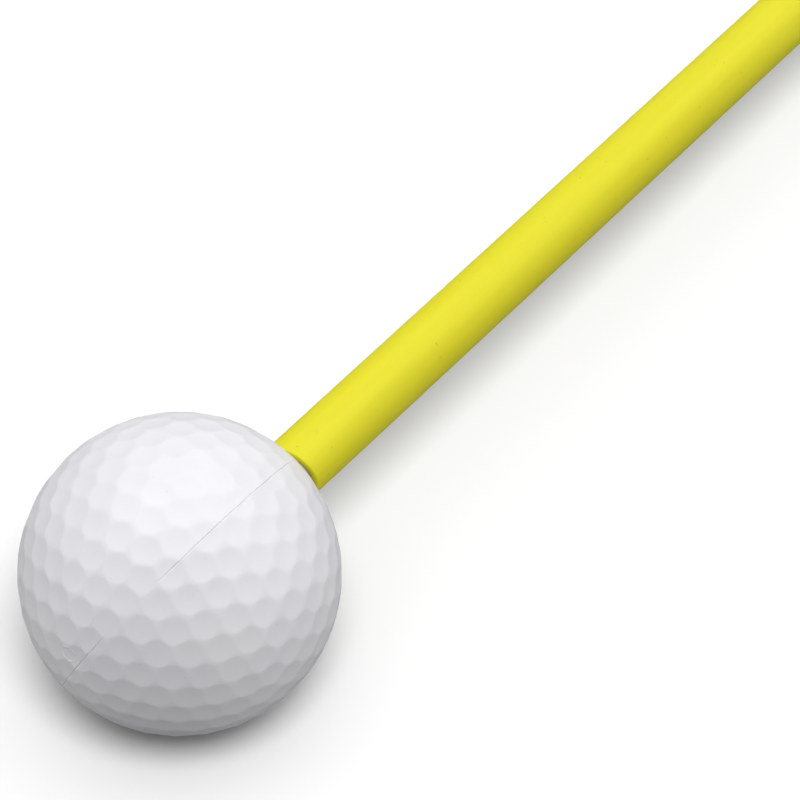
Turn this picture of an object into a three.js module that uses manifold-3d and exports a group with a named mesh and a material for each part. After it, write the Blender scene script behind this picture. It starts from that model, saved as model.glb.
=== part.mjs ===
// A flexible, weighted swing trainer for golf: a dimple-ball head on a springy rod with a rubber grip.
// Millimetres, +Z up. The stick lies along X with the head at -X; the ball's lowest point is at Z = 0.
// Every piece is turned round one axis. Stations are distances along it from the ball's far pole.

import * as THREE from 'three';
import { mergeVertices } from 'three/addons/utils/BufferGeometryUtils.js';
import Module from 'manifold-3d';

// ---- driving dimensions ----

const OVERALL = 1200; // from the ball's pole to the butt's end
const BALL_R = 30;
const ROD_R = 6.3; // outside of the rod's sleeve
const CORE_R = 4.75; // the glass-fibre core
const CORE_CHAMFER = 0.4;
const GRIP_LENGTH = 270;

const GAP = 0.3; // clearance between pieces that touch
const BOND = 0.1; // thickness of the glue between the core and what is slid over it
const ROUND = 40; // sides of a turned piece
const SEAM_ROLL = THREE.MathUtils.degToRad(27); // turn of the shells' parting plane round the rod

// Head
const WALL = 3;
const CAVITY_R = BALL_R - WALL;
const MOUTH_R = CORE_R + 0.35; // the hole that the rod's core goes in by
const NECK_R = 9; // boss round the rod, inside the shells
const NECK_START = 50.6;
const RIB = { inner: 11, outer: 13.5 }; // ring ribs that press on the cushions
const CLAMPED = 27.4; // length of the weight at each end of the rod
const WEIGHT = { r: 20, start: BALL_R - CLAMPED / 2, end: BALL_R + CLAMPED / 2 };
const CUSHION = { inner: 11, outer: 15, thick: 3 };
const TONGUE = { inner: 27.9, outer: 29.1, height: 1.5 };
const SEAM_GAP = 0.15; // each half stands this far back from the parting plane

// Ferrule, washer and screw, the same at both ends of the rod
const FERRULE = { r: 6.5, length: CLAMPED + 6, flangeR: 10, flange: 2.5 };
const THREAD_R = 2.5;
const THREAD_DEPTH = 13.4; // from the ferrule's end to the core's socket
const WASHER = { r: 9.5, thick: 1.6 };
const SCREW = { headR: 4.6, headHeight: 3.4, shank: 14, socketR: 2.3, socketDepth: 2 };

// Rod
const SLEEVE_START = BALL_R * 2 + 1.9; // cut square, clear of the ball

// Handle
const GRIP = { start: OVERALL - GRIP_LENGTH, end: OVERALL - 9, mouthR: 10.4, buttR: 15.4 };
const MOUTH_BEAD = { rise: 0.6, length: 1.5 }; // the rounded edge of the grip's mouth
const TUBE_R = 8.5;
const TAPE = 0.35;
const BORE_R = TUBE_R + TAPE + 0.2; // the grip's bore, round the tape
const COLLAR = { r: GRIP.mouthR - 0.2, lip: 5, nose: 7.6, depth: 16 };
const COUNTER = { r: 12, start: OVERALL - 62, end: OVERALL - 62 + CLAMPED };
const POCKET_R = COUNTER.r + GAP; // wide end of the grip's bore
const CAP = { r: 16.6, thick: 8.7, spigotR: POCKET_R - GAP, spigot: 7, ventR: 2, round: 2.5 };

// ---- materials ----

function material(color, roughness, metalness = 0) {
  return new THREE.MeshStandardMaterial({ color, roughness, metalness });
}

const MATERIALS = {
  ball: material(0xe9e9ec, 0.45),
  sleeve: material(0xe8dd1e, 0.7),
  glassFibre: material(0xc9c6a4, 0.4),
  steel: material(0x8f9296, 0.35, 1),
  plated: material(0xb4b6ba, 0.25, 1),
  foam: material(0x2c2c2e, 0.95),
  blackPlastic: material(0x161617, 0.5),
  tape: material(0xd8d2bd, 0.8),
  rubber: material(0x1b1b1c, 0.85),
};

// ---- shapes ----

const wasm = await Module();
wasm.setup();

// A piece turned from its section, given as a radius and a station for each point. A section that
// starts on the axis ends on it; any other closes on itself.
function turned(outline, sides = ROUND) {
  const points = outline.map(([radius, station]) => new THREE.Vector2(radius, station));
  if (outline[0][0] > 0) points.push(points[0].clone());
  return new THREE.LatheGeometry(points, sides);
}

// A ring or tube between two radii and two stations.
function tube(inner, outer, start, end, sides = ROUND) {
  return turned([[inner, start], [outer, start], [outer, end], [inner, end]], sides);
}

// Points of a circle round the ball's centre, between two angles from its far pole.
function arc(radius, fromAngle, toAngle, steps) {
  return Array.from({ length: steps + 1 }, (_, i) => {
    const angle = fromAngle + ((toAngle - fromAngle) * i) / steps;
    return [radius * Math.sin(angle), BALL_R - radius * Math.cos(angle)];
  });
}

// Angle from the far pole at which a circle of this radius is offAxis away from the axis.
function angleAt(radius, offAxis, rodSide) {
  const angle = Math.asin(offAxis / radius);
  return rodSide ? Math.PI - angle : angle;
}

function solid(geometry) {
  const bare = geometry.clone();
  bare.deleteAttribute('normal');
  bare.deleteAttribute('uv');
  const merged = mergeVertices(bare, 1e-4);
  const mesh = new wasm.Mesh({
    numProp: 3,
    vertProperties: new Float32Array(merged.attributes.position.array),
    triVerts: new Uint32Array(merged.index.array),
  });
  return new wasm.Manifold(mesh);
}

function geometryOf(manifold) {
  const mesh = manifold.getMesh();
  const geometry = new THREE.BufferGeometry();
  geometry.setAttribute('position', new THREE.BufferAttribute(mesh.vertProperties, 3));
  geometry.setIndex(new THREE.BufferAttribute(mesh.triVerts, 1));
  geometry.computeVertexNormals();
  return geometry;
}

// ---- the head ----

// The whole shell as one turned section: the outer ball, the mouth for the rod, the neck boss and
// the two ribs.
function shellSection() {
  const ribAngles = [RIB.inner, RIB.outer].map((r) => angleAt(CAVITY_R, r, false));
  const ribFace = WEIGHT.start - CUSHION.thick - 2 * GAP;
  const neckAngle = angleAt(CAVITY_R, NECK_R, true);
  return [
    ...arc(BALL_R, 0, Math.PI / 2, 10),
    ...arc(BALL_R, Math.PI / 2, angleAt(BALL_R, MOUTH_R, true), 10).slice(1),
    [MOUTH_R, NECK_START],
    [NECK_R, NECK_START],
    ...arc(CAVITY_R, neckAngle, Math.PI - ribAngles[0], 1),
    [RIB.inner, 2 * BALL_R - ribFace],
    [RIB.outer, 2 * BALL_R - ribFace],
    ...arc(CAVITY_R, Math.PI - ribAngles[1], ribAngles[1], 12),
    [RIB.outer, ribFace],
    [RIB.inner, ribFace],
    ...arc(CAVITY_R, ribAngles[0], 0, 3),
  ];
}

// The tongue ring between two radii inside the wall, stopping short of the mouth.
function tongueRing(inner, outer) {
  const end = angleAt(BALL_R, NECK_R + 1, true);
  return solid(turned([...arc(outer, 0, end, 16), ...arc(inner, end, 0, 16)]));
}

// A block between two distances from the parting plane; the left half is on the negative side.
function slab(from, to) {
  const block = new THREE.BoxGeometry(to - from, 4 * BALL_R, 4 * BALL_R);
  block.translate((from + to) / 2, BALL_R, 0);
  return solid(block);
}

function shells() {
  const whole = solid(turned(shellSection()));
  const far = 2 * BALL_R;
  const tongue = tongueRing(TONGUE.inner, TONGUE.outer);
  const groove = tongueRing(TONGUE.inner - GAP, TONGUE.outer + GAP);
  const left = whole
    .intersect(slab(-far, -SEAM_GAP))
    .add(tongue.intersect(slab(-SEAM_GAP - 1, TONGUE.height)));
  const right = whole
    .intersect(slab(SEAM_GAP, far))
    .subtract(groove.intersect(slab(0, TONGUE.height + GAP)));
  return { ball_shell_left: geometryOf(left), ball_shell_right: geometryOf(right) };
}

function cushion(start) {
  return tube(CUSHION.inner, CUSHION.outer, start, start + CUSHION.thick);
}

// ---- the pieces that clamp a weight on the rod's end ----
// Each is drawn from its own zero station, with the screw's head at the low end.

function ferrule() {
  return turned([
    [THREAD_R + GAP, 0],
    [FERRULE.r, 0],
    [FERRULE.r, CLAMPED],
    [FERRULE.flangeR, CLAMPED],
    [FERRULE.flangeR, CLAMPED + FERRULE.flange],
    [FERRULE.r, CLAMPED + FERRULE.flange],
    [FERRULE.r, FERRULE.length],
    [CORE_R + GAP, FERRULE.length],
    [CORE_R + GAP, THREAD_DEPTH],
    [THREAD_R + GAP, THREAD_DEPTH],
  ]);
}

function washer() {
  return tube(THREAD_R + GAP, WASHER.r, 0, WASHER.thick);
}

// A pan-head screw with a hexagon socket.
function screw() {
  const { headR, headHeight, shank, socketR, socketDepth } = SCREW;
  const body = solid(turned([
    [0, 0],
    [headR - 1, 0],
    [headR, 1],
    [headR, headHeight],
    [THREAD_R, headHeight],
    [THREAD_R, headHeight + shank - 1],
    [THREAD_R - 0.8, headHeight + shank],
    [0, headHeight + shank],
  ], 24));
  const socket = new THREE.CylinderGeometry(socketR, socketR, 2 * socketDepth, 6);
  return geometryOf(body.subtract(solid(socket)));
}

// ---- the rod ----

function rodCore(start, end) {
  return turned([
    [0, start],
    [CORE_R - CORE_CHAMFER, start],
    [CORE_R, start + CORE_CHAMFER],
    [CORE_R, end - CORE_CHAMFER],
    [CORE_R - CORE_CHAMFER, end],
    [0, end],
  ]);
}

// ---- the handle ----

// The collar's lip covers the step from the rod to the grip; its skirt goes into the grip's mouth.
function collar() {
  const mouth = GRIP.start;
  return turned([
    [ROD_R + GAP, mouth - COLLAR.lip],
    [COLLAR.nose, mouth - COLLAR.lip],
    [COLLAR.r, mouth - 1],
    [COLLAR.r, mouth - GAP],
    [BORE_R - GAP, mouth - GAP],
    [BORE_R - GAP, mouth + COLLAR.depth],
    [ROD_R + GAP, mouth + COLLAR.depth],
  ]);
}

// The grip swells from its mouth to its butt; its bore widens into a pocket for the counterweight.
function gripSleeve() {
  const swell = Array.from({ length: 9 }, (_, i) => {
    const t = i / 8;
    const fromR = GRIP.mouthR + MOUTH_BEAD.rise;
    const from = GRIP.start + MOUTH_BEAD.length;
    const radius = fromR + (GRIP.buttR - fromR) * (0.35 * t + 0.65 * t * t);
    return [radius, from + (GRIP.end - from) * t];
  });
  const pocket = COUNTER.start - 4;
  return turned([
    [BORE_R, GRIP.start],
    [GRIP.mouthR, GRIP.start],
    ...swell,
    [POCKET_R, GRIP.end],
    [POCKET_R, pocket],
    [BORE_R, pocket],
  ]);
}

// The butt cap: a rounded disc with a spigot in the grip's pocket and a vent hole through both.
function gripCap() {
  const start = OVERALL - CAP.thick;
  const rim = Array.from({ length: 5 }, (_, i) => {
    const angle = (i / 4) * (Math.PI / 2);
    return [CAP.r - CAP.round * (1 - Math.cos(angle)), OVERALL - CAP.round * (1 - Math.sin(angle))];
  });
  return turned([
    [CAP.ventR, start - CAP.spigot],
    [CAP.spigotR, start - CAP.spigot],
    [CAP.spigotR, start],
    [CAP.r - 1, start],
    [CAP.r, start + 1],
    ...rim,
    [CAP.ventR, OVERALL],
  ]);
}

// ---- the assembly ----

const stick = new THREE.Group();
stick.position.set(-OVERALL / 2, 0, BALL_R);
stick.rotation.z = -Math.PI / 2; // stations run along +X

function add(name, geometry, finish, parent = stick) {
  const mesh = new THREE.Mesh(geometry, finish);
  mesh.name = name;
  parent.add(mesh);
  return mesh;
}

// Both ferrules are clamped the same way; the one at the butt faces the other way along the rod.
const tipEnd = new THREE.Group();
tipEnd.position.y = WEIGHT.start + GAP;
const buttEnd = new THREE.Group();
buttEnd.position.y = COUNTER.end - GAP;
buttEnd.rotation.x = Math.PI;
stick.add(tipEnd, buttEnd);

function addClamp(prefix, group) {
  const washerStart = -2 * GAP - WASHER.thick;
  add(`${prefix}_ferrule`, ferrule(), MATERIALS.plated, group);
  add(`${prefix}_washer`, washer(), MATERIALS.plated, group).position.y = washerStart;
  add(`${prefix}_screw`, screw(), MATERIALS.steel, group).position.y =
    washerStart - GAP - SCREW.headHeight;
}

const ball = new THREE.Group();
ball.rotation.y = SEAM_ROLL;
stick.add(ball);
for (const [name, geometry] of Object.entries(shells())) {
  add(name, geometry, MATERIALS.ball, ball);
}

const weightBore = FERRULE.r + GAP;
add('head_weight', tube(weightBore, WEIGHT.r, WEIGHT.start, WEIGHT.end), MATERIALS.steel);
add('weight_cushion_front', cushion(WEIGHT.start - GAP - CUSHION.thick), MATERIALS.foam);
add('weight_cushion_rear', cushion(WEIGHT.end + GAP), MATERIALS.foam);
addClamp('tip', tipEnd);

const coreStart = tipEnd.position.y + THREAD_DEPTH + GAP;
const coreEnd = buttEnd.position.y - THREAD_DEPTH - GAP;
const sleeveEnd = GRIP.start + COLLAR.depth;
add('rod_core', rodCore(coreStart, coreEnd), MATERIALS.glassFibre);
add('rod_sleeve', tube(CORE_R + BOND, ROD_R, SLEEVE_START, sleeveEnd), MATERIALS.sleeve);

const tubeStart = sleeveEnd + 1;
const tubeEnd = buttEnd.position.y - FERRULE.length - 1;
add('grip_collar', collar(), MATERIALS.blackPlastic);
add('handle_tube', tube(CORE_R + BOND, TUBE_R, tubeStart, tubeEnd), MATERIALS.blackPlastic);
add('grip_tape', tube(TUBE_R + BOND / 2, TUBE_R + TAPE, tubeStart, tubeEnd), MATERIALS.tape);
add('grip_sleeve', gripSleeve(), MATERIALS.rubber);
add('grip_cap', gripCap(), MATERIALS.rubber);
add('counterweight', tube(weightBore, COUNTER.r, COUNTER.start, COUNTER.end), MATERIALS.steel);
addClamp('butt', buttEnd);

export default stick;
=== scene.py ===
"""The looks of a flexible golf swing trainer: a dimpled ball on a springy yellow rod with a rubber grip.

Metres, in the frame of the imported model: the stick lies along X with the ball at -X, +Z is up.
"""

import math

import bmesh
import bpy
import numpy as np
from mathutils import Matrix, Vector


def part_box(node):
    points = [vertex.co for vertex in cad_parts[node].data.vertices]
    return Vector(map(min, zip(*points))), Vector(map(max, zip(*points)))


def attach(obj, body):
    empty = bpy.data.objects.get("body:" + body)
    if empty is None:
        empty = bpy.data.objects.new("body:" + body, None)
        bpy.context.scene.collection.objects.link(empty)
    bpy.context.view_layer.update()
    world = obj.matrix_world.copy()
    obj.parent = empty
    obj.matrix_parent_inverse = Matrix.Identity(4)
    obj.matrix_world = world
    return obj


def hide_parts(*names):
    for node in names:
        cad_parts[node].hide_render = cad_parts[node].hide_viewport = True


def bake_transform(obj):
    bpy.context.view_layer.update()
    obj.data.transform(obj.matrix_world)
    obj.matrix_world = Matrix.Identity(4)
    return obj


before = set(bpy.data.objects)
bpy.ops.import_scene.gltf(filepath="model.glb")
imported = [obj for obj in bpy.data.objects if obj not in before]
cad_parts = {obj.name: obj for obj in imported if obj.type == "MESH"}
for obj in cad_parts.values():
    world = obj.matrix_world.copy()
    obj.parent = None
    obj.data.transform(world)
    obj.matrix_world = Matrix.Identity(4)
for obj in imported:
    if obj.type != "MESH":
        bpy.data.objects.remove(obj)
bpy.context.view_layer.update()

MM = 0.001

# ---- places and sizes from the frame ----


def half_width(node):
    """Radius of a turned node, from its box."""
    low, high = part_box(node)
    return (high[1] - low[1]) / 2


def span_x(node):
    low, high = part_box(node)
    return low[0], high[0]


LEFT_LOW, LEFT_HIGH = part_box("ball_shell_left")
RIGHT_LOW, RIGHT_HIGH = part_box("ball_shell_right")
BALL_R = (max(LEFT_HIGH[1], RIGHT_HIGH[1]) - min(LEFT_LOW[1], RIGHT_LOW[1])) / 2
AXIS_Z = (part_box("rod_sleeve")[0][2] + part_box("rod_sleeve")[1][2]) / 2
BALL = np.array([LEFT_LOW[0] + BALL_R, 0, AXIS_Z])
ROD_R = half_width("rod_sleeve")
CORE_R = half_width("rod_core")
CAP_R = half_width("grip_cap")

# The two shells part on a plane through the rod's axis, rolled round it from vertical.
SEAM_ROLL = math.radians(27)
SEAM_NORMAL = np.array([0, math.cos(SEAM_ROLL), math.sin(SEAM_ROLL)])
SEAM_UP = np.array([0, -math.sin(SEAM_ROLL), math.cos(SEAM_ROLL)])

# ---- camera ----

AZIMUTH = math.radians(-51.9)
ELEVATION = math.radians(46.6)
DISTANCE = 0.7387
LENS = 180
SENSOR = 36
# Where the ball's centre stands in the square picture, as shares of its side from the middle.
BALL_RIGHT = -0.2751
BALL_UP = -0.2171


def make_camera():
    data = bpy.data.cameras.new("camera")
    data.lens = LENS
    data.sensor_width = SENSOR
    camera = bpy.data.objects.new("camera", data)
    bpy.context.scene.collection.objects.link(camera)
    bpy.context.scene.camera = camera
    back = Vector((
        math.sin(AZIMUTH) * math.cos(ELEVATION),
        -math.cos(AZIMUTH) * math.cos(ELEVATION),
        math.sin(ELEVATION),
    ))
    turn = back.to_track_quat("Z", "Y")
    right = turn @ Vector((1, 0, 0))
    up = turn @ Vector((0, 1, 0))
    reach = SENSOR / LENS * DISTANCE
    camera.location = (
        Vector(BALL) + back * DISTANCE - right * (BALL_RIGHT * reach) - up * (BALL_UP * reach)
    )
    camera.rotation_mode = "QUATERNION"
    camera.rotation_quaternion = turn
    return right, up, back


VIEW_RIGHT, VIEW_UP, VIEW_BACK = make_camera()

# ---- material helpers ----


class Finish:
    """A Principled material and the short calls that its node tree is made with."""

    def __init__(self, name, color, roughness, metallic=0.0, specular=0.5):
        self.material = bpy.data.materials.new(name)
        self.material.use_nodes = True
        self.tree = self.material.node_tree
        self.shader = self.tree.nodes["Principled BSDF"]
        self.shader.inputs["Base Color"].default_value = (*color, 1)
        self.shader.inputs["Roughness"].default_value = roughness
        self.shader.inputs["Metallic"].default_value = metallic
        self.shader.inputs["Specular IOR Level"].default_value = specular
        self.place = self.node("ShaderNodeTexCoord").outputs["Object"]

    def node(self, kind, **settings):
        made = self.tree.nodes.new(kind)
        for key, value in settings.items():
            setattr(made, key, value)
        return made

    def join(self, a, b):
        self.tree.links.new(a, b)

    def stretched(self, scale):
        mapping = self.node("ShaderNodeMapping")
        mapping.inputs["Scale"].default_value = scale
        self.join(self.place, mapping.inputs["Vector"])
        return mapping.outputs["Vector"]

    def noise(self, scale, detail=2.0, rough=0.5, vector=None):
        made = self.node("ShaderNodeTexNoise")
        made.inputs["Scale"].default_value = scale
        made.inputs["Detail"].default_value = detail
        made.inputs["Roughness"].default_value = rough
        self.join(vector or self.place, made.inputs["Vector"])
        return made.outputs["Fac"]

    def ramp(self, value, stops):
        made = self.node("ShaderNodeValToRGB")
        elements = made.color_ramp.elements
        while len(elements) < len(stops):
            elements.new(0.5)
        for element, (place, color) in zip(elements, stops):
            element.position = place
            element.color = (*color, 1)
        self.join(value, made.inputs["Fac"])
        return made.outputs["Color"]

    def spread(self, value, low, high, out_low, out_high):
        made = self.node("ShaderNodeMapRange")
        made.inputs["From Min"].default_value = low
        made.inputs["From Max"].default_value = high
        made.inputs["To Min"].default_value = out_low
        made.inputs["To Max"].default_value = out_high
        self.join(value, made.inputs["Value"])
        return made.outputs["Result"]

    def mix(self, factor, a, b):
        made = self.node("ShaderNodeMix", data_type="RGBA")
        self.join(factor, made.inputs["Factor"])
        for value, socket in ((a, made.inputs["A"]), (b, made.inputs["B"])):
            if hasattr(value, "node"):
                self.join(value, socket)
            else:
                socket.default_value = (*value, 1)
        return made.outputs["Result"]

    def bump(self, height, strength, distance, normal=None):
        made = self.node("ShaderNodeBump")
        made.inputs["Strength"].default_value = strength
        made.inputs["Distance"].default_value = distance
        self.join(height, made.inputs["Height"])
        if normal is not None:
            self.join(normal, made.inputs["Normal"])
        return made.outputs["Normal"]

    def set(self, socket, value):
        self.join(value, self.shader.inputs[socket])


def grey(value):
    return (value, value, value)


# ---- materials ----


def ball_plastic():
    """Satin white moulded plastic: faint clouding, orange-peel skin, and a few handling marks."""
    f = Finish("ball_plastic", (0.8, 0.8, 0.82), 0.42, specular=0.45)
    cloud = f.noise(60, 3)
    tone = f.ramp(cloud, [(0.35, (0.776, 0.771, 0.808)), (0.65, (0.812, 0.808, 0.838))])
    marks = f.ramp(f.noise(900, 2, 0.6), [(0.74, grey(0)), (0.79, grey(1))])
    f.set("Base Color", f.mix(marks, tone, (0.6, 0.6, 0.61)))
    f.set("Roughness", f.spread(f.noise(220, 3), 0.3, 0.7, 0.36, 0.5))
    f.set("Normal", f.bump(f.noise(1400, 3), 0.12, 0.05 * MM))
    return f.material


def sleeve_yellow():
    """Matte yellow coat of the rod, drawn lengthwise, with fine dark specks."""
    f = Finish("sleeve_yellow", (0.76, 0.69, 0.015), 0.6, specular=0.3)
    f.shader.inputs["Subsurface Weight"].default_value = 0.6
    f.shader.inputs["Subsurface Radius"].default_value = (1, 0.9, 0.3)
    f.shader.inputs["Subsurface Scale"].default_value = 4 * MM
    drawn = f.noise(260, 3, 0.5, f.stretched((0.04, 1, 1)))
    tone = f.ramp(drawn, [(0.35, (0.735, 0.665, 0.012)), (0.65, (0.775, 0.705, 0.018))])
    specks = f.ramp(f.noise(1500, 1, 0.5), [(0.76, grey(0)), (0.8, grey(1))])
    f.set("Base Color", f.mix(specks, tone, (0.5, 0.44, 0.02)))
    f.set("Roughness", f.spread(f.noise(500, 3), 0.3, 0.7, 0.48, 0.64))
    grain = f.bump(f.noise(2600, 3), 0.2, 0.04 * MM)
    f.set("Normal", f.bump(drawn, 0.25, 0.05 * MM, grain))
    return f.material


def grip_rubber():
    """Black moulded rubber: fine pebbled skin, dustier and rougher in patches."""
    f = Finish("grip_rubber", (0.018, 0.018, 0.019), 0.7, specular=0.35)
    dust = f.noise(70, 4, 0.6)
    f.set("Base Color", f.ramp(dust, [(0.35, grey(0.014)), (0.7, (0.03, 0.03, 0.031))]))
    f.set("Roughness", f.spread(dust, 0.3, 0.7, 0.6, 0.8))
    pebble = f.node("ShaderNodeTexVoronoi", feature="SMOOTH_F1")
    pebble.inputs["Scale"].default_value = 1500
    f.join(f.place, pebble.inputs["Vector"])
    f.set("Normal", f.bump(pebble.outputs["Distance"], 0.35, 0.1 * MM))
    return f.material


def black_plastic():
    """Satin black plastic with a fine spark-eroded texture."""
    f = Finish("black_plastic", (0.02, 0.02, 0.021), 0.4)
    f.set("Base Color", f.ramp(f.noise(90, 3), [(0.3, grey(0.017)), (0.7, grey(0.026))]))
    f.set("Roughness", f.spread(f.noise(300, 3), 0.3, 0.7, 0.34, 0.48))
    f.set("Normal", f.bump(f.noise(3000, 2), 0.15, 0.03 * MM))
    return f.material


def glass_fibre():
    """Pultruded glass fibre: pale green-yellow resin with lengthwise fibres."""
    f = Finish("glass_fibre", (0.5, 0.48, 0.3), 0.35)
    fibres = f.noise(900, 4, 0.6, f.stretched((0.01, 1, 1)))
    f.set("Base Color", f.ramp(fibres, [(0.3, (0.42, 0.4, 0.24)), (0.7, (0.6, 0.58, 0.4))]))
    f.set("Roughness", f.spread(fibres, 0.3, 0.7, 0.28, 0.42))
    f.set("Normal", f.bump(fibres, 0.3, 0.05 * MM))
    return f.material


def metal(name, color, roughness, rings):
    """Turned metal, with tool marks in rings round the rod's axis."""
    f = Finish(name, color, roughness, metallic=1.0)
    marks = f.noise(rings, 3, 0.6, f.stretched((1, 0.02, 0.02)))
    dark = tuple(0.8 * c for c in color)
    f.set("Base Color", f.ramp(marks, [(0.3, dark), (0.7, color)]))
    f.set("Roughness", f.spread(marks, 0.3, 0.7, roughness - 0.06, roughness + 0.1))
    f.set("Normal", f.bump(marks, 0.3, 0.03 * MM))
    return f.material


def foam():
    """Closed-cell foam with small open pores."""
    f = Finish("foam", (0.03, 0.03, 0.032), 0.9, specular=0.2)
    cells = f.node("ShaderNodeTexVoronoi")
    cells.inputs["Scale"].default_value = 1800
    f.join(f.place, cells.inputs["Vector"])
    f.set("Base Color", f.ramp(cells.outputs["Distance"], [(0.1, grey(0.015)), (0.5, grey(0.04))]))
    f.set("Normal", f.bump(cells.outputs["Distance"], 0.6, 0.2 * MM))
    return f.material


def tape():
    """Paper tape under the grip: cream, creased and matte."""
    f = Finish("tape", (0.55, 0.52, 0.42), 0.85, specular=0.2)
    crease = f.noise(120, 5, 0.65, f.stretched((0.3, 1, 1)))
    f.set("Base Color", f.ramp(crease, [(0.3, (0.48, 0.45, 0.36)), (0.7, (0.6, 0.57, 0.47))]))
    f.set("Normal", f.bump(crease, 0.4, 0.1 * MM))
    return f.material


WHITE = ball_plastic()
YELLOW = sleeve_yellow()
RUBBER = grip_rubber()
BLACK = black_plastic()
FIBRE = glass_fibre()
STEEL = metal("turned_steel", (0.42, 0.42, 0.44), 0.32, 900)
PLATED = metal("zinc_plate", (0.62, 0.64, 0.66), 0.24, 500)
FOAM = foam()
TAPE = tape()

# ---- mesh helpers ----

SHARP = math.radians(35)
TURNED_SIDES = 128


def make_piece(name, vertices, faces, material, merge=0.0):
    """A smooth-shaded object from vertices and faces, its faces turned outwards."""
    mesh = bpy.data.meshes.new(name)
    mesh.from_pydata(np.asarray(vertices).tolist(), [], faces)
    work = bmesh.new()
    work.from_mesh(mesh)
    if merge:
        bmesh.ops.remove_doubles(work, verts=work.verts, dist=merge)
    bmesh.ops.recalc_face_normals(work, faces=work.faces)
    work.to_mesh(mesh)
    work.free()
    mesh.polygons.foreach_set("use_smooth", np.ones(len(mesh.polygons), bool))
    mesh.set_sharp_from_angle(angle=SHARP)
    mesh.materials.append(material)
    piece = bpy.data.objects.new(name, mesh)
    bpy.context.scene.collection.objects.link(piece)
    return piece


def smooth_step(value, low, high):
    t = np.clip((value - low) / (high - low), 0, 1)
    return t * t * (3 - 2 * t)


def ring_points(radii, stations, sides):
    """Points of a grid turned round the rod's axis: one row for each radius and station."""
    turn = np.linspace(0, 2 * math.pi, sides, endpoint=False)
    radii = np.asarray(radii, float)
    if radii.ndim == 1:
        radii = np.repeat(radii[:, None], sides, axis=1)
    x = np.repeat(np.asarray(stations, float)[:, None], sides, axis=1)
    return np.stack([x, radii * np.cos(turn), AXIS_Z + radii * np.sin(turn)], axis=-1)


def grid_faces(rows, columns, closed_rows=False, closed_columns=True):
    faces = []
    for i in range(rows if closed_rows else rows - 1):
        for j in range(columns if closed_columns else columns - 1):
            k, l = (i + 1) % rows, (j + 1) % columns
            faces.append((i * columns + j, i * columns + l, k * columns + l, k * columns + j))
    return faces


def turned(name, outline, material):
    """A closed piece turned round the rod's axis from its section: (radius, x) for each point."""
    radii, stations = zip(*outline)
    points = ring_points(radii, stations, TURNED_SIDES).reshape(-1, 3)
    faces = grid_faces(len(outline), TURNED_SIDES, closed_rows=True)
    return make_piece(name, points, faces, material)


def rounded(corner, before, after, radius, steps=6):
    """The points of a section's corner, rounded off between its two neighbours."""
    corner, before, after = (np.array(p, float) for p in (corner, before, after))
    start = corner + (before - corner) / np.linalg.norm(before - corner) * radius
    end = corner + (after - corner) / np.linalg.norm(after - corner) * radius
    points = []
    for t in np.linspace(0, 1, steps + 1):
        points.append(tuple((1 - t) ** 2 * start + 2 * t * (1 - t) * corner + t * t * end))
    return points


def rounded_section(corners):
    """A section from (radius, x, rounding) corners."""
    points = []
    for i, (r, x, rounding) in enumerate(corners):
        before, after = corners[i - 1][:2], corners[(i + 1) % len(corners)][:2]
        points += rounded((r, x), before, after, rounding) if rounding else [(r, x)]
    return points


# ---- the ball ----

LATTICE = (5, 2)  # steps between neighbouring five-sided dimples: 392 dimples in all
DIMPLE_DEPTH = 0.22 * MM
DIMPLE_REACH = 0.485  # radius of a dimple, in spacings between dimples
DIMPLE_EDGE = 1.05  # how softly a dimple runs out into the land round it
DIMPLE_DOWN = 0.587  # the level rows' middle dimple, in ball radii below the middle of the view
POLE_ROWS = 56  # close rows over the cap with the gate's scar
BALL_ROWS = 290
BALL_COLUMNS = 264
INNER_COLUMNS = 24  # steps across the inside of a half
SHELL_WALL = 2.8 * MM
MOUTH_R = CORE_R + 0.35 * MM
SEAM_GAP = 0.004 * MM  # each half stands this far back from the parting plane


def icosahedron():
    """Its 12 corners and 20 faces."""
    golden = (1 + math.sqrt(5)) / 2
    corners = []
    for a in (-1, 1):
        for b in (-golden, golden):
            corners += [(0, a, b), (a, b, 0), (b, 0, a)]
    corners = np.array(corners) / math.hypot(1, golden)
    edge = min(np.linalg.norm(corners[0] - c) for c in corners[1:]) * 1.01
    near = np.linalg.norm(corners[:, None] - corners[None], axis=2) < edge
    faces = []
    for i in range(12):
        for j in range(12):
            for k in range(12):
                if i < j and i < k and j != k and near[i, j] and near[j, k] and near[i, k]:
                    if np.linalg.det(corners[[i, j, k]]) > 0:
                        faces.append((i, j, k))
    return corners, faces


def dimple_centres():
    """Unit directions of the dimples: a triangular lattice on an icosahedron, evened out."""
    h, k = LATTICE
    corners, faces = icosahedron()
    flat = np.array([[1, 0], [0.5, math.sqrt(3) / 2]])
    second = np.array([-k, h + k]) @ flat
    first = np.array([h, k]) @ flat
    found = []
    for a, b, c in faces:
        for i in range(-k, h + 1):
            for j in range(0, h + 2 * k + 1):
                u, v = np.linalg.solve(np.column_stack([first, second]), np.array([i, j]) @ flat)
                if min(u, v, 1 - u - v) > -1e-6:
                    point = (1 - u - v) * corners[a] + u * corners[b] + v * corners[c]
                    found.append(point / np.linalg.norm(point))
    found = np.array(found)
    unique = []
    for point in found:
        if all(np.dot(point, other) < 0.9999 for other in unique):
            unique.append(point)
    return evened(np.array(unique)), corners[list(faces[0])]


def evened(points, rounds=40, step=0.012):
    """The points pushed apart a little, so that their spacing is even."""
    for _ in range(rounds):
        apart = points[:, None] - points[None]
        distance = np.linalg.norm(apart, axis=2) + np.eye(len(points))
        push = (apart / distance[..., None] ** 5).sum(axis=1)
        push -= (push * points).sum(axis=1, keepdims=True) * points
        push /= np.abs(push).max() + 1e-9
        points = points + step * push
        points /= np.linalg.norm(points, axis=1, keepdims=True)
    return points


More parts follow.
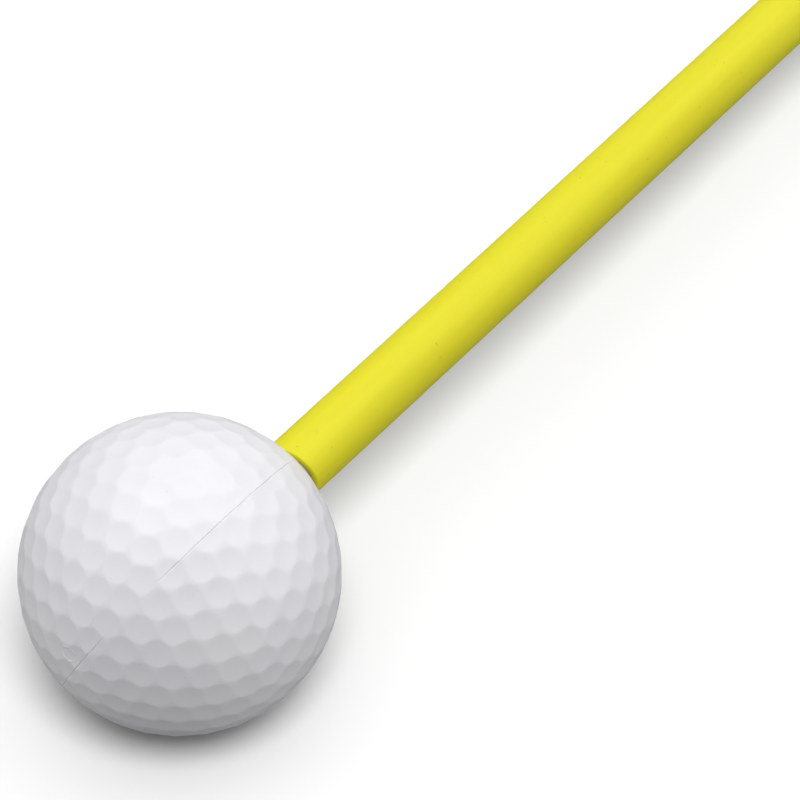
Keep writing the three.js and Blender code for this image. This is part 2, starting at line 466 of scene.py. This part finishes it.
def aligned_centres():
    """The dimples turned so that their rows lie level on the lower front of the ball."""
    centres, face = dimple_centres()
    middle = face.mean(axis=0)
    middle /= np.linalg.norm(middle)
    edge = face[1] - face[0]
    edge /= np.linalg.norm(edge)
    h, k = LATTICE
    skew = math.atan2(math.sqrt(3) / 2 * k, h + k / 2)
    side = np.cross(middle, edge)
    row = edge * math.cos(skew) - side * math.sin(skew)
    own = np.column_stack([row, np.cross(middle, row), middle])
    look = np.array(VIEW_BACK * math.sqrt(1 - DIMPLE_DOWN**2) - VIEW_UP * DIMPLE_DOWN)
    right = np.array(VIEW_RIGHT) - np.dot(VIEW_RIGHT, look) * look
    right /= np.linalg.norm(right)
    target = np.column_stack([right, np.cross(look, right), look])
    return centres @ (target @ own.T).T


def dimple_height(directions, centres):
    """Height of the dimpled skin over the ball's surface at unit directions."""
    spacing = math.sqrt(4 * math.pi / len(centres) * 2 / math.sqrt(3))
    reach = DIMPLE_REACH * spacing
    height = np.empty(len(directions))
    for start in range(0, len(directions), 8192):
        part = directions[start:start + 8192] @ centres.T
        nearest = np.partition(part, -3, axis=1)[:, -3:]
        square = np.clip(2 - 2 * nearest, 0, None) / reach**2
        height[start:start + 8192] = (np.clip(1 - square, 0, None) ** DIMPLE_EDGE).sum(axis=1)
    return -DIMPLE_DEPTH * height


# Height of the moulded lip beside the parting line, by distance from it.
LIP_PLACES = np.array([0, 0.05, 0.12, 0.4, 1.2]) * MM
LIP_HEIGHTS = np.array([-0.055, 0.03, 0.07, 0.05, 0]) * MM
LIP_ROOM = 0.06 * MM  # the land between dimples lies this far inside BALL_R, for the lip to stand up in
# How clear the line is, by angle from the far pole in degrees.
SEAM_STRENGTH = ([0, 18, 28, 52, 64, 180], [0.8, 0.8, 0.1, 0.1, 0.95, 0.95])
SCAR_R = 1.55 * MM
SCAR_ANGLE = math.radians(8)  # from the far pole
SCAR_TURN = math.radians(42)  # from the seam, round the rod's axis


def seam_height(distance, along):
    """The lip, stronger and weaker along the seam; along is the angle from the far pole."""
    strength = np.interp(np.degrees(along), *SEAM_STRENGTH) * (1 + 0.18 * np.cos(along * 23))
    return np.interp(distance, LIP_PLACES, LIP_HEIGHTS) * strength


def scar_height(directions):
    """The gate's scar: a shallow round land with a ragged rim."""
    across = math.cos(SCAR_TURN) * SEAM_UP + math.sin(SCAR_TURN) * SEAM_NORMAL
    middle = math.sin(SCAR_ANGLE) * across - math.cos(SCAR_ANGLE) * np.array([1, 0, 0])
    offset = directions - middle
    distance = np.linalg.norm(offset, axis=1) * BALL_R
    turn = np.arctan2(offset @ SEAM_NORMAL, offset @ np.cross(middle, SEAM_NORMAL))
    ragged = np.clip(0.45 + 0.6 * np.sin(3 * turn + 0.8) * np.sin(turn + 0.4), 0, 1)
    rim = np.exp(-(((distance - SCAR_R) / (0.16 * MM)) ** 2)) * 0.16 * MM * ragged
    land = -0.08 * MM / (1 + np.exp((distance - SCAR_R) / (0.12 * MM)))
    return rim + land


def ball_rows(mouth):
    """Angles of the rows from the far pole, closer over the pole than over the rest."""
    cap = math.radians(15)
    rest = np.linspace(cap, mouth, BALL_ROWS - POLE_ROWS + 1)
    return np.concatenate([np.linspace(0, cap, POLE_ROWS), rest[1:]])


def half_ball(name, side, centres):
    """Half of the dimpled shell: side 1 is the half towards the seam's normal, -1 the other."""
    mouth = math.pi - math.asin(MOUTH_R / BALL_R)
    rows = ball_rows(mouth)
    arc = math.pi * BALL_R * np.sin(rows)[:, None]
    lip_columns = len(LIP_PLACES)
    crowded = arc * 0.02 * np.arange(1, lip_columns + 1)  # by the pole the lip's columns draw together
    edge = np.minimum(LIP_PLACES + SEAM_GAP, crowded)
    inside = np.linspace(0, 1, BALL_COLUMNS - 2 * lip_columns + 2)[1:-1]
    middle = edge[:, -1:] + (arc - 2 * edge[:, -1:]) * inside
    places = np.hstack([edge, middle, arc - edge[:, ::-1]])
    turn = places / np.maximum(arc, 1e-9) * math.pi
    cos, sin = np.cos(rows)[:, None, None], np.sin(rows)[:, None, None]
    across = np.cos(turn)[..., None] * SEAM_UP + side * np.sin(turn)[..., None] * SEAM_NORMAL
    directions = (-cos * np.array([1, 0, 0]) + sin * across).reshape(-1, 3)
    from_seam = np.minimum(places, arc - places).ravel() - SEAM_GAP
    along = np.repeat(rows, places.shape[1])
    height = dimple_height(directions, centres) + scar_height(directions)
    height += seam_height(np.maximum(from_seam, 0), along)
    outer = BALL + directions * (BALL_R - LIP_ROOM + height)[:, None]

    columns = places.shape[1]
    faces = grid_faces(BALL_ROWS, columns, closed_columns=False)
    inner_r = BALL_R - SHELL_WALL
    inner_rows = ball_rows(math.pi - math.asin(MOUTH_R / inner_r))
    gap = np.arcsin(np.minimum(SEAM_GAP / np.maximum(inner_r * np.sin(inner_rows), 1e-9), 0.05))
    share = np.linspace(0, 1, INNER_COLUMNS + 1)
    inner_turn = gap[:, None] + (math.pi - 2 * gap[:, None]) * share
    cos, sin = np.cos(inner_rows)[:, None, None], np.sin(inner_rows)[:, None, None]
    across = (
        np.cos(inner_turn)[..., None] * SEAM_UP + side * np.sin(inner_turn)[..., None] * SEAM_NORMAL
    )
    inner = BALL + inner_r * (-cos * np.array([1, 0, 0]) + sin * across).reshape(-1, 3)
    base = len(outer)
    for a, b, c, d in grid_faces(BALL_ROWS, len(share), closed_columns=False):
        faces.append((base + d, base + c, base + b, base + a))
    for i in range(BALL_ROWS - 1):
        for out, into in ((0, 0), (columns - 1, INNER_COLUMNS)):
            a, b = i * columns + out, (i + 1) * columns + out
            c, d = base + (i + 1) * len(share) + into, base + i * len(share) + into
            faces.append((a, b, c, d))
    last_out, last_in = (BALL_ROWS - 1) * columns, base + (BALL_ROWS - 1) * len(share)
    stops = [round(s * (columns - 1)) for s in share]
    for j in range(INNER_COLUMNS):
        outside = [last_out + c for c in range(stops[j], stops[j + 1] + 1)]
        faces.append([last_in + j + 1, last_in + j, *outside])
    return make_piece(name, np.vstack([outer, inner]), faces, WHITE, merge=1e-7)


def make_ball():
    centres = aligned_centres()
    for name, side, node in (
        ("ball_half_left", 1, "ball_shell_left"),
        ("ball_half_right", -1, "ball_shell_right"),
    ):
        half = half_ball(name, side, centres)
        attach(half, "head")
        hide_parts(node)


# ---- the rod ----

ROD_ROWS = 200
ROD_SIDES = 120
CORE_SIDES = 48
CUT_LEAN = 1.0 * MM  # how far the sleeve's hand-cut end is out of square
CUT_SIDE = math.radians(190)  # where round the rod it stands furthest from the ball


def rod_stations(start, end):
    return np.linspace(start, end, ROD_ROWS)


def flexing(piece, node):
    """The piece keeps its place in the world frame, on neither head nor handle, and stands for a CAD
    node, which is hidden.
    """
    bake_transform(piece)
    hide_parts(node)


def make_rod():
    start, end = span_x("rod_sleeve")
    bevel = 0.2 * MM
    bore = CORE_R + 0.1 * MM
    section = [(bore, start), (ROD_R - bevel, start)]
    section += [(ROD_R - bevel * (1 - math.sin(t)), start + bevel * (1 - math.cos(t)))
                for t in np.linspace(0.3, math.pi / 2, 4)]
    section += [(ROD_R, x) for x in rod_stations(start + 2 * bevel, end)]
    section += [(bore, x) for x in rod_stations(end, start + bevel)]
    points = ring_points(*zip(*section), ROD_SIDES)
    turn = np.linspace(0, 2 * math.pi, ROD_SIDES, endpoint=False)
    near = 1 - smooth_step(points[..., 0], start, start + 30 * MM)
    points[..., 0] += CUT_LEAN * np.cos(turn - CUT_SIDE) * near
    faces = grid_faces(len(section), ROD_SIDES, closed_rows=True)
    sleeve = make_piece("rod_coat", points.reshape(-1, 3), faces, YELLOW)
    flexing(sleeve, "rod_sleeve")

    start, end = span_x("rod_core")
    tip = 0.4 * MM
    section = [(CORE_R - tip, start)]
    section += [(CORE_R, x) for x in rod_stations(start + tip, end - tip)]
    section += [(CORE_R - tip, end)]
    points = ring_points(*zip(*section), CORE_SIDES).reshape(-1, 3)
    faces = grid_faces(len(section), CORE_SIDES)
    faces += [list(range(CORE_SIDES)), list(range(len(points) - CORE_SIDES, len(points)))]
    core = make_piece("rod_glass", points, faces, FIBRE)
    flexing(core, "rod_core")


# ---- the handle ----

GRIP_ROWS = 405
GRIP_SIDES = 240
SLOTS_ROUND = 20
SLOT_PITCH = 7 * MM
SLOT_DEPTH = 0.38 * MM
BAND_DEPTH = 0.45 * MM  # of the grooves in the plain bands
GRIP_MOUTH_R = half_width("grip_collar") + 0.2 * MM
MOUTH_BEAD = 0.6 * MM  # how far the grip swells just behind its mouth
GRIP_BORE = half_width("grip_tape") + 0.2 * MM
POCKET_R = half_width("counterweight") + 0.3 * MM
POCKET_START = span_x("counterweight")[0] - 4 * MM


def make_grip():
    start, end = span_x("grip_sleeve")
    butt_r = half_width("grip_sleeve")
    swell_r = GRIP_MOUTH_R + MOUTH_BEAD
    x = np.linspace(start, end, GRIP_ROWS)
    t = (x - start) / (end - start)
    radius = swell_r + (butt_r - swell_r) * (0.35 * t + 0.65 * t * t)
    radius -= MOUTH_BEAD * (1 - smooth_step(x, start - 0.5 * MM, start + 2.5 * MM))
    turn = np.linspace(0, 2 * math.pi, GRIP_SIDES, endpoint=False)
    # slots in staggered rows, between a plain band at the mouth and one at the butt
    row = (x - start) / SLOT_PITCH
    phase = np.floor(row) % 2 * 0.5
    along = np.abs(row - np.floor(row) - 0.5)[:, None]
    round_ = np.abs((turn[None] / (2 * math.pi) * SLOTS_ROUND + phase[:, None]) % 1 - 0.5)
    slot = (1 - smooth_step(along, 0.28, 0.42)) * (1 - smooth_step(round_, 0.12, 0.24))
    field = smooth_step(x, start + 14 * MM, start + 15 * MM)
    field *= 1 - smooth_step(x, end - 13 * MM, end - 12 * MM)
    height = -SLOT_DEPTH * slot * field[:, None]
    for groove in (start + 8 * MM, start + 11 * MM, end - 8 * MM, end - 5 * MM):
        height -= BAND_DEPTH * np.exp(-(((x - groove) / BAND_DEPTH) ** 2))[:, None]
    outer = ring_points(radius[:, None] + height, x, GRIP_SIDES)
    inside = [(POCKET_R, end), (POCKET_R, POCKET_START), (GRIP_BORE, POCKET_START), (GRIP_BORE, start)]
    radii, stations = zip(*inside)
    inner = ring_points(radii, stations, GRIP_SIDES)
    points = np.vstack([outer.reshape(-1, 3), inner.reshape(-1, 3)])
    faces = grid_faces(GRIP_ROWS + len(inside), GRIP_SIDES, closed_rows=True)
    grip = make_piece("grip_moulding", points, faces, RUBBER)
    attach(grip, "handle")
    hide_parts("grip_sleeve")


def make_collar():
    start, end = span_x("grip_collar")
    lip_r = half_width("grip_collar")
    bore = ROD_R + 0.3 * MM
    nose = 7.6 * MM
    skirt = GRIP_BORE - 0.3 * MM
    lip_end = start + 4.7 * MM
    section = rounded_section([
        (bore, start, 0.15 * MM),
        (nose, start, 0.5 * MM),
        (lip_r, lip_end - 0.7 * MM, 0.4 * MM),
        (lip_r, lip_end, 0.1 * MM),
        (skirt, lip_end, 0.1 * MM),
        (skirt, end, 0.3 * MM),
        (bore, end, 0.2 * MM),
    ])
    collar = turned("collar_moulding", section, BLACK)
    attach(collar, "handle")
    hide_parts("grip_collar")


def make_cap():
    start, end = span_x("grip_cap")
    rim = end - 8.7 * MM
    spigot = POCKET_R - 0.3 * MM
    vent = 2 * MM
    ring = 8.5 * MM
    section = rounded_section([
        (vent, start, 0.2 * MM),
        (spigot, start, 0.4 * MM),
        (spigot, rim, 0.1 * MM),
        (CAP_R - 0.1 * MM, rim, 0.5 * MM),
        (CAP_R, end - 4 * MM, 1.5 * MM),
        (CAP_R - 0.4 * MM, end, 2.6 * MM),
        (ring + 0.7 * MM, end, 0.2 * MM),
        (ring, end - 0.5 * MM, 0.2 * MM),
        (ring - 0.7 * MM, end, 0.2 * MM),
        (vent, end, 0.4 * MM),
    ])
    cap = turned("cap_moulding", section, RUBBER)
    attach(cap, "handle")
    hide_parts("grip_cap")


def finish_inner_nodes():
    """Materials for the CAD nodes that stay."""
    finishes = {
        STEEL: ("head_weight", "counterweight", "tip_screw", "butt_screw"),
        PLATED: ("tip_ferrule", "butt_ferrule", "tip_washer", "butt_washer"),
        FOAM: ("weight_cushion_front", "weight_cushion_rear"),
        BLACK: ("handle_tube",),
        TAPE: ("grip_tape",),
    }
    for material, nodes in finishes.items():
        for node in nodes:
            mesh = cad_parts[node].data
            mesh.materials.clear()
            mesh.materials.append(material)


# ---- floor and light ----

STAGE_SIZE = 60  # half the floor's side


def floor_material(name, tone):
    f = Finish(name, grey(tone), 0.9, specular=0.0)
    f.set("Base Color", f.ramp(f.noise(3, 2), [(0.3, grey(tone - 0.005)), (0.7, grey(tone + 0.005))]))
    return f.material


def add_floor(name, tone, down):
    """A floor plane some way down from where the stick rests, tilted to touch ball and butt cap."""
    length = span_x("grip_cap")[1] - 4 * MM - BALL[0]
    tilt = math.asin((BALL_R - CAP_R) / length)
    size = STAGE_SIZE
    corners = [(-size, -size, 0), (size, -size, 0), (size, size, 0), (-size, size, 0)]
    mesh = bpy.data.meshes.new(name)
    mesh.from_pydata(corners, [], [(0, 1, 2, 3)])
    mesh.materials.append(floor_material(name, tone))
    floor = bpy.data.objects.new(name, mesh)
    bpy.context.scene.collection.objects.link(floor)
    below = Vector((math.sin(tilt), 0, -math.cos(tilt)))
    touch = Vector(BALL) + below * (BALL_R + down)
    floor.matrix_world = Matrix.Translation(touch) @ Matrix.Rotation(-tilt, 4, "Y")
    return floor


def make_floors():
    """The white floor that is seen, and a greyer one under it that lights the stick from below."""
    seen = add_floor("floor_seen", 0.49, 0)
    seen.visible_diffuse = False
    seen.visible_glossy = False
    seen.visible_shadow = False
    bounce = add_floor("floor_bounce", 0.27, 0.2 * MM)
    bounce.visible_camera = False
    return seen


def make_backdrop():
    """A white wall far round the stage, standing on the floor, that only the camera sees."""
    radius, foot, height, sides = 0.75 * STAGE_SIZE, -2, 30, 64
    turn = np.linspace(0, 2 * math.pi, sides, endpoint=False)
    points = [(radius * math.cos(t), radius * math.sin(t), z) for z in (foot, height) for t in turn]
    mesh = bpy.data.meshes.new("backdrop")
    mesh.from_pydata(points, [], grid_faces(2, sides))
    f = Finish("backdrop", grey(0), 1, specular=0.0)
    f.shader.inputs["Emission Color"].default_value = (1, 1, 1, 1)
    f.shader.inputs["Emission Strength"].default_value = 1
    mesh.materials.append(f.material)
    backdrop = bpy.data.objects.new("backdrop", mesh)
    bpy.context.scene.collection.objects.link(backdrop)
    for ray in ("diffuse", "glossy", "transmission", "shadow"):
        setattr(backdrop, f"visible_{ray}", False)


def add_lamp(name, toward, spread, power):
    """A far, wide lamp, by its direction as (right, away, up) of the view and its spread in degrees."""
    data = bpy.data.lights.new(name, "SUN")
    data.energy = power
    data.angle = math.radians(spread)
    lamp = bpy.data.objects.new(name, data)
    bpy.context.scene.collection.objects.link(lamp)
    level_right = Vector((VIEW_RIGHT.x, VIEW_RIGHT.y, 0)).normalized()
    level_away = Vector((-VIEW_BACK.x, -VIEW_BACK.y, 0)).normalized()
    source = level_right * toward[0] + level_away * toward[1] + Vector((0, 0, toward[2]))
    lamp.location = source
    lamp.rotation_mode = "QUATERNION"
    lamp.rotation_quaternion = source.to_track_quat("Z", "Y")
    return lamp


def make_light(floor):
    """Soft light from overhead and from each side, and a lamp that only throws a shadow on the floor."""
    add_lamp("overhead", (0.16, 0.19, 1.6), 95, 2.52)
    add_lamp("right_side", (1.6, -0.5, 0.35), 50, 0.62)
    add_lamp("left_side", (-1.6, -0.2, 0.35), 50, 0.64)
    shadow = add_lamp("floor_shadow", (0.1, -0.5, 1.0), 24, 3.6)
    lit = bpy.data.collections.new("floor_only")
    lit.objects.link(floor)
    shadow.light_linking.receiver_collection = lit
    world = bpy.data.worlds.new("studio")
    world.use_nodes = True
    background = world.node_tree.nodes["Background"]
    background.inputs["Color"].default_value = (1, 1, 1, 1)
    background.inputs["Strength"].default_value = 0.3
    bpy.context.scene.world = world
    bpy.context.scene.view_settings.view_transform = "Standard"


make_ball()
make_rod()
make_grip()
make_collar()
make_cap()
finish_inner_nodes()
make_light(make_floors())
make_backdrop()
